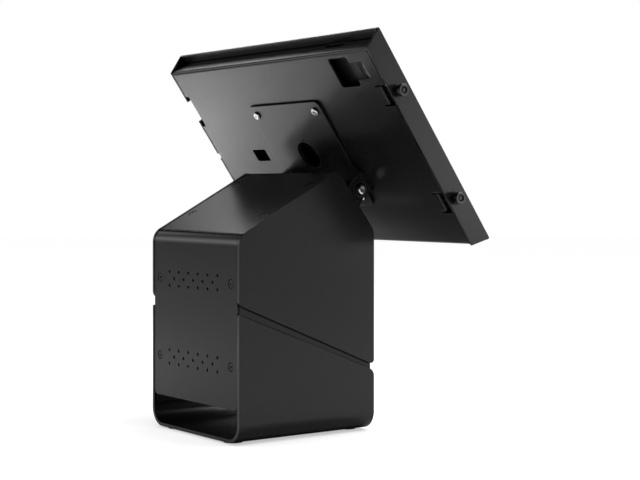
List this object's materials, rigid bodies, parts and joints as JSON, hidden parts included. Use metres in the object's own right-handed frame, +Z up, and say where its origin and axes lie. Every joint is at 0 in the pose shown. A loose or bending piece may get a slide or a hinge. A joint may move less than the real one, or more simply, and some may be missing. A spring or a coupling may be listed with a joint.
{
  "type": "tablet kiosk stand",
  "caption": "Counter-top tablet kiosk stand: sheet-metal base with a printer bay and a vented back, a tilting bracket on its slope, and a lockable tablet enclosure.",
  "frame": {"origin": "centre of the counter cable hole, on the underside of the base's floor", "axes": "+Z up, +X the user's right (the two locks are on -X), the user sits at -Y and the vented back panel faces +Y"},
  "size_m": [0.3526, 0.2215, 0.3788],
  "materials": {
    "lower_shell": "black textured powder coat",
    "side_panel_right": "black textured powder coat",
    "side_panel_left": "black textured powder coat",
    "chassis_side_right": "black textured powder coat",
    "chassis_side_left": "black textured powder coat",
    "panel_nuts": "zinc-plated steel",
    "cover_strip": "black textured powder coat",
    "back_screws": "blackened steel",
    "roof_screws": "blackened steel",
    "slope_bracket": "black textured powder coat",
    "bracket_screws": "blackened steel",
    "pivot_bolts": "bright zinc-plated steel",
    "pivot_nuts": "zinc-plated steel",
    "friction_discs": "black fibre friction disc",
    "pivot_washers": "zinc-plated steel",
    "rubber_feet": "black rubber",
    "tilt_plate": "black textured powder coat",
    "vesa_screws": "bright zinc-plated steel",
    "vesa_inserts": "zinc-plated steel",
    "back_plate": "black textured powder coat",
    "tablet_shell": "dark anodised aluminium",
    "tablet_glass": "black cover glass, display off",
    "foam_frame": "black closed-cell foam",
    "foam_pads": "black closed-cell foam",
    "front_cover": "black textured powder coat",
    "bezel_foam": "black closed-cell foam",
    "upper_lock_sleeve": "black-plated",
    "upper_lock_plunger": "black-plated",
    "upper_lock_plug": "dark nickel-plated",
    "lower_lock_sleeve": "black-plated",
    "lower_lock_plunger": "black-plated",
    "lower_lock_plug": "dark nickel-plated"
  },
  "bodies": {
    "base": {"lower_shell": "lower_shell", "side_panel_right": "side_panel_right", "side_panel_left": "side_panel_left", "chassis_side_right": "chassis_side_right", "chassis_side_left": "chassis_side_left", "panel_nuts": "panel_nuts", "cover_strip": "cover_strip", "back_screws": "back_screws", "roof_screws": "roof_screws", "slope_bracket": "slope_bracket", "bracket_screws": "bracket_screws", "pivot_bolts": "pivot_bolts", "pivot_nuts": "pivot_nuts", "friction_discs": "friction_discs", "pivot_washers": "pivot_washers", "rubber_feet": "rubber_feet"},
    "head": {"tilt_plate": "tilt_plate", "vesa_screws": "vesa_screws", "vesa_inserts": "vesa_inserts", "back_plate": "back_plate", "tablet_shell": "tablet_shell", "tablet_glass": "tablet_glass", "foam_frame": "foam_frame", "foam_pads": "foam_pads"},
    "front_cover": {"front_cover": "front_cover", "bezel_foam": "bezel_foam", "upper_lock_sleeve": "upper_lock_sleeve", "lower_lock_sleeve": "lower_lock_sleeve"},
    "upper_lock": {"upper_lock_plunger": "upper_lock_plunger"},
    "upper_plug": {"upper_lock_plug": "upper_lock_plug"},
    "lower_lock": {"lower_lock_plunger": "lower_lock_plunger"},
    "lower_plug": {"lower_lock_plug": "lower_lock_plug"}
  },
  "joints": [
    {"name": "head_tilt", "type": "hinge", "parent": "base", "child": "head", "pos_m": [0, -0.06734, 0.23277], "axis": [1, 0, 0], "range_deg": [-25, 30]},
    {"name": "cover_swing", "type": "hinge", "parent": "head", "child": "front_cover", "pos_m": [0.1718, -0.05902, 0.2687], "axis": [0, 0.5736, 0.8192], "range_deg": [0, 95]},
    {"name": "upper_lock_slide", "type": "slide", "parent": "front_cover", "child": "upper_lock", "axis": [1, 0, 0], "range_m": [0, 0.0039]},
    {"name": "upper_plug_turn", "type": "hinge", "parent": "upper_lock", "child": "upper_plug", "pos_m": [-0.1718, -0.03165, 0.32156], "axis": [1, 0, 0], "range_deg": [0, 90]},
    {"name": "lower_lock_slide", "type": "slide", "parent": "front_cover", "child": "lower_lock", "axis": [1, 0, 0], "range_m": [0, 0.0039]},
    {"name": "lower_plug_turn", "type": "hinge", "parent": "lower_lock", "child": "lower_plug", "pos_m": [-0.1718, -0.09957, 0.22458], "axis": [1, 0, 0], "range_deg": [0, 90]}
  ]
}
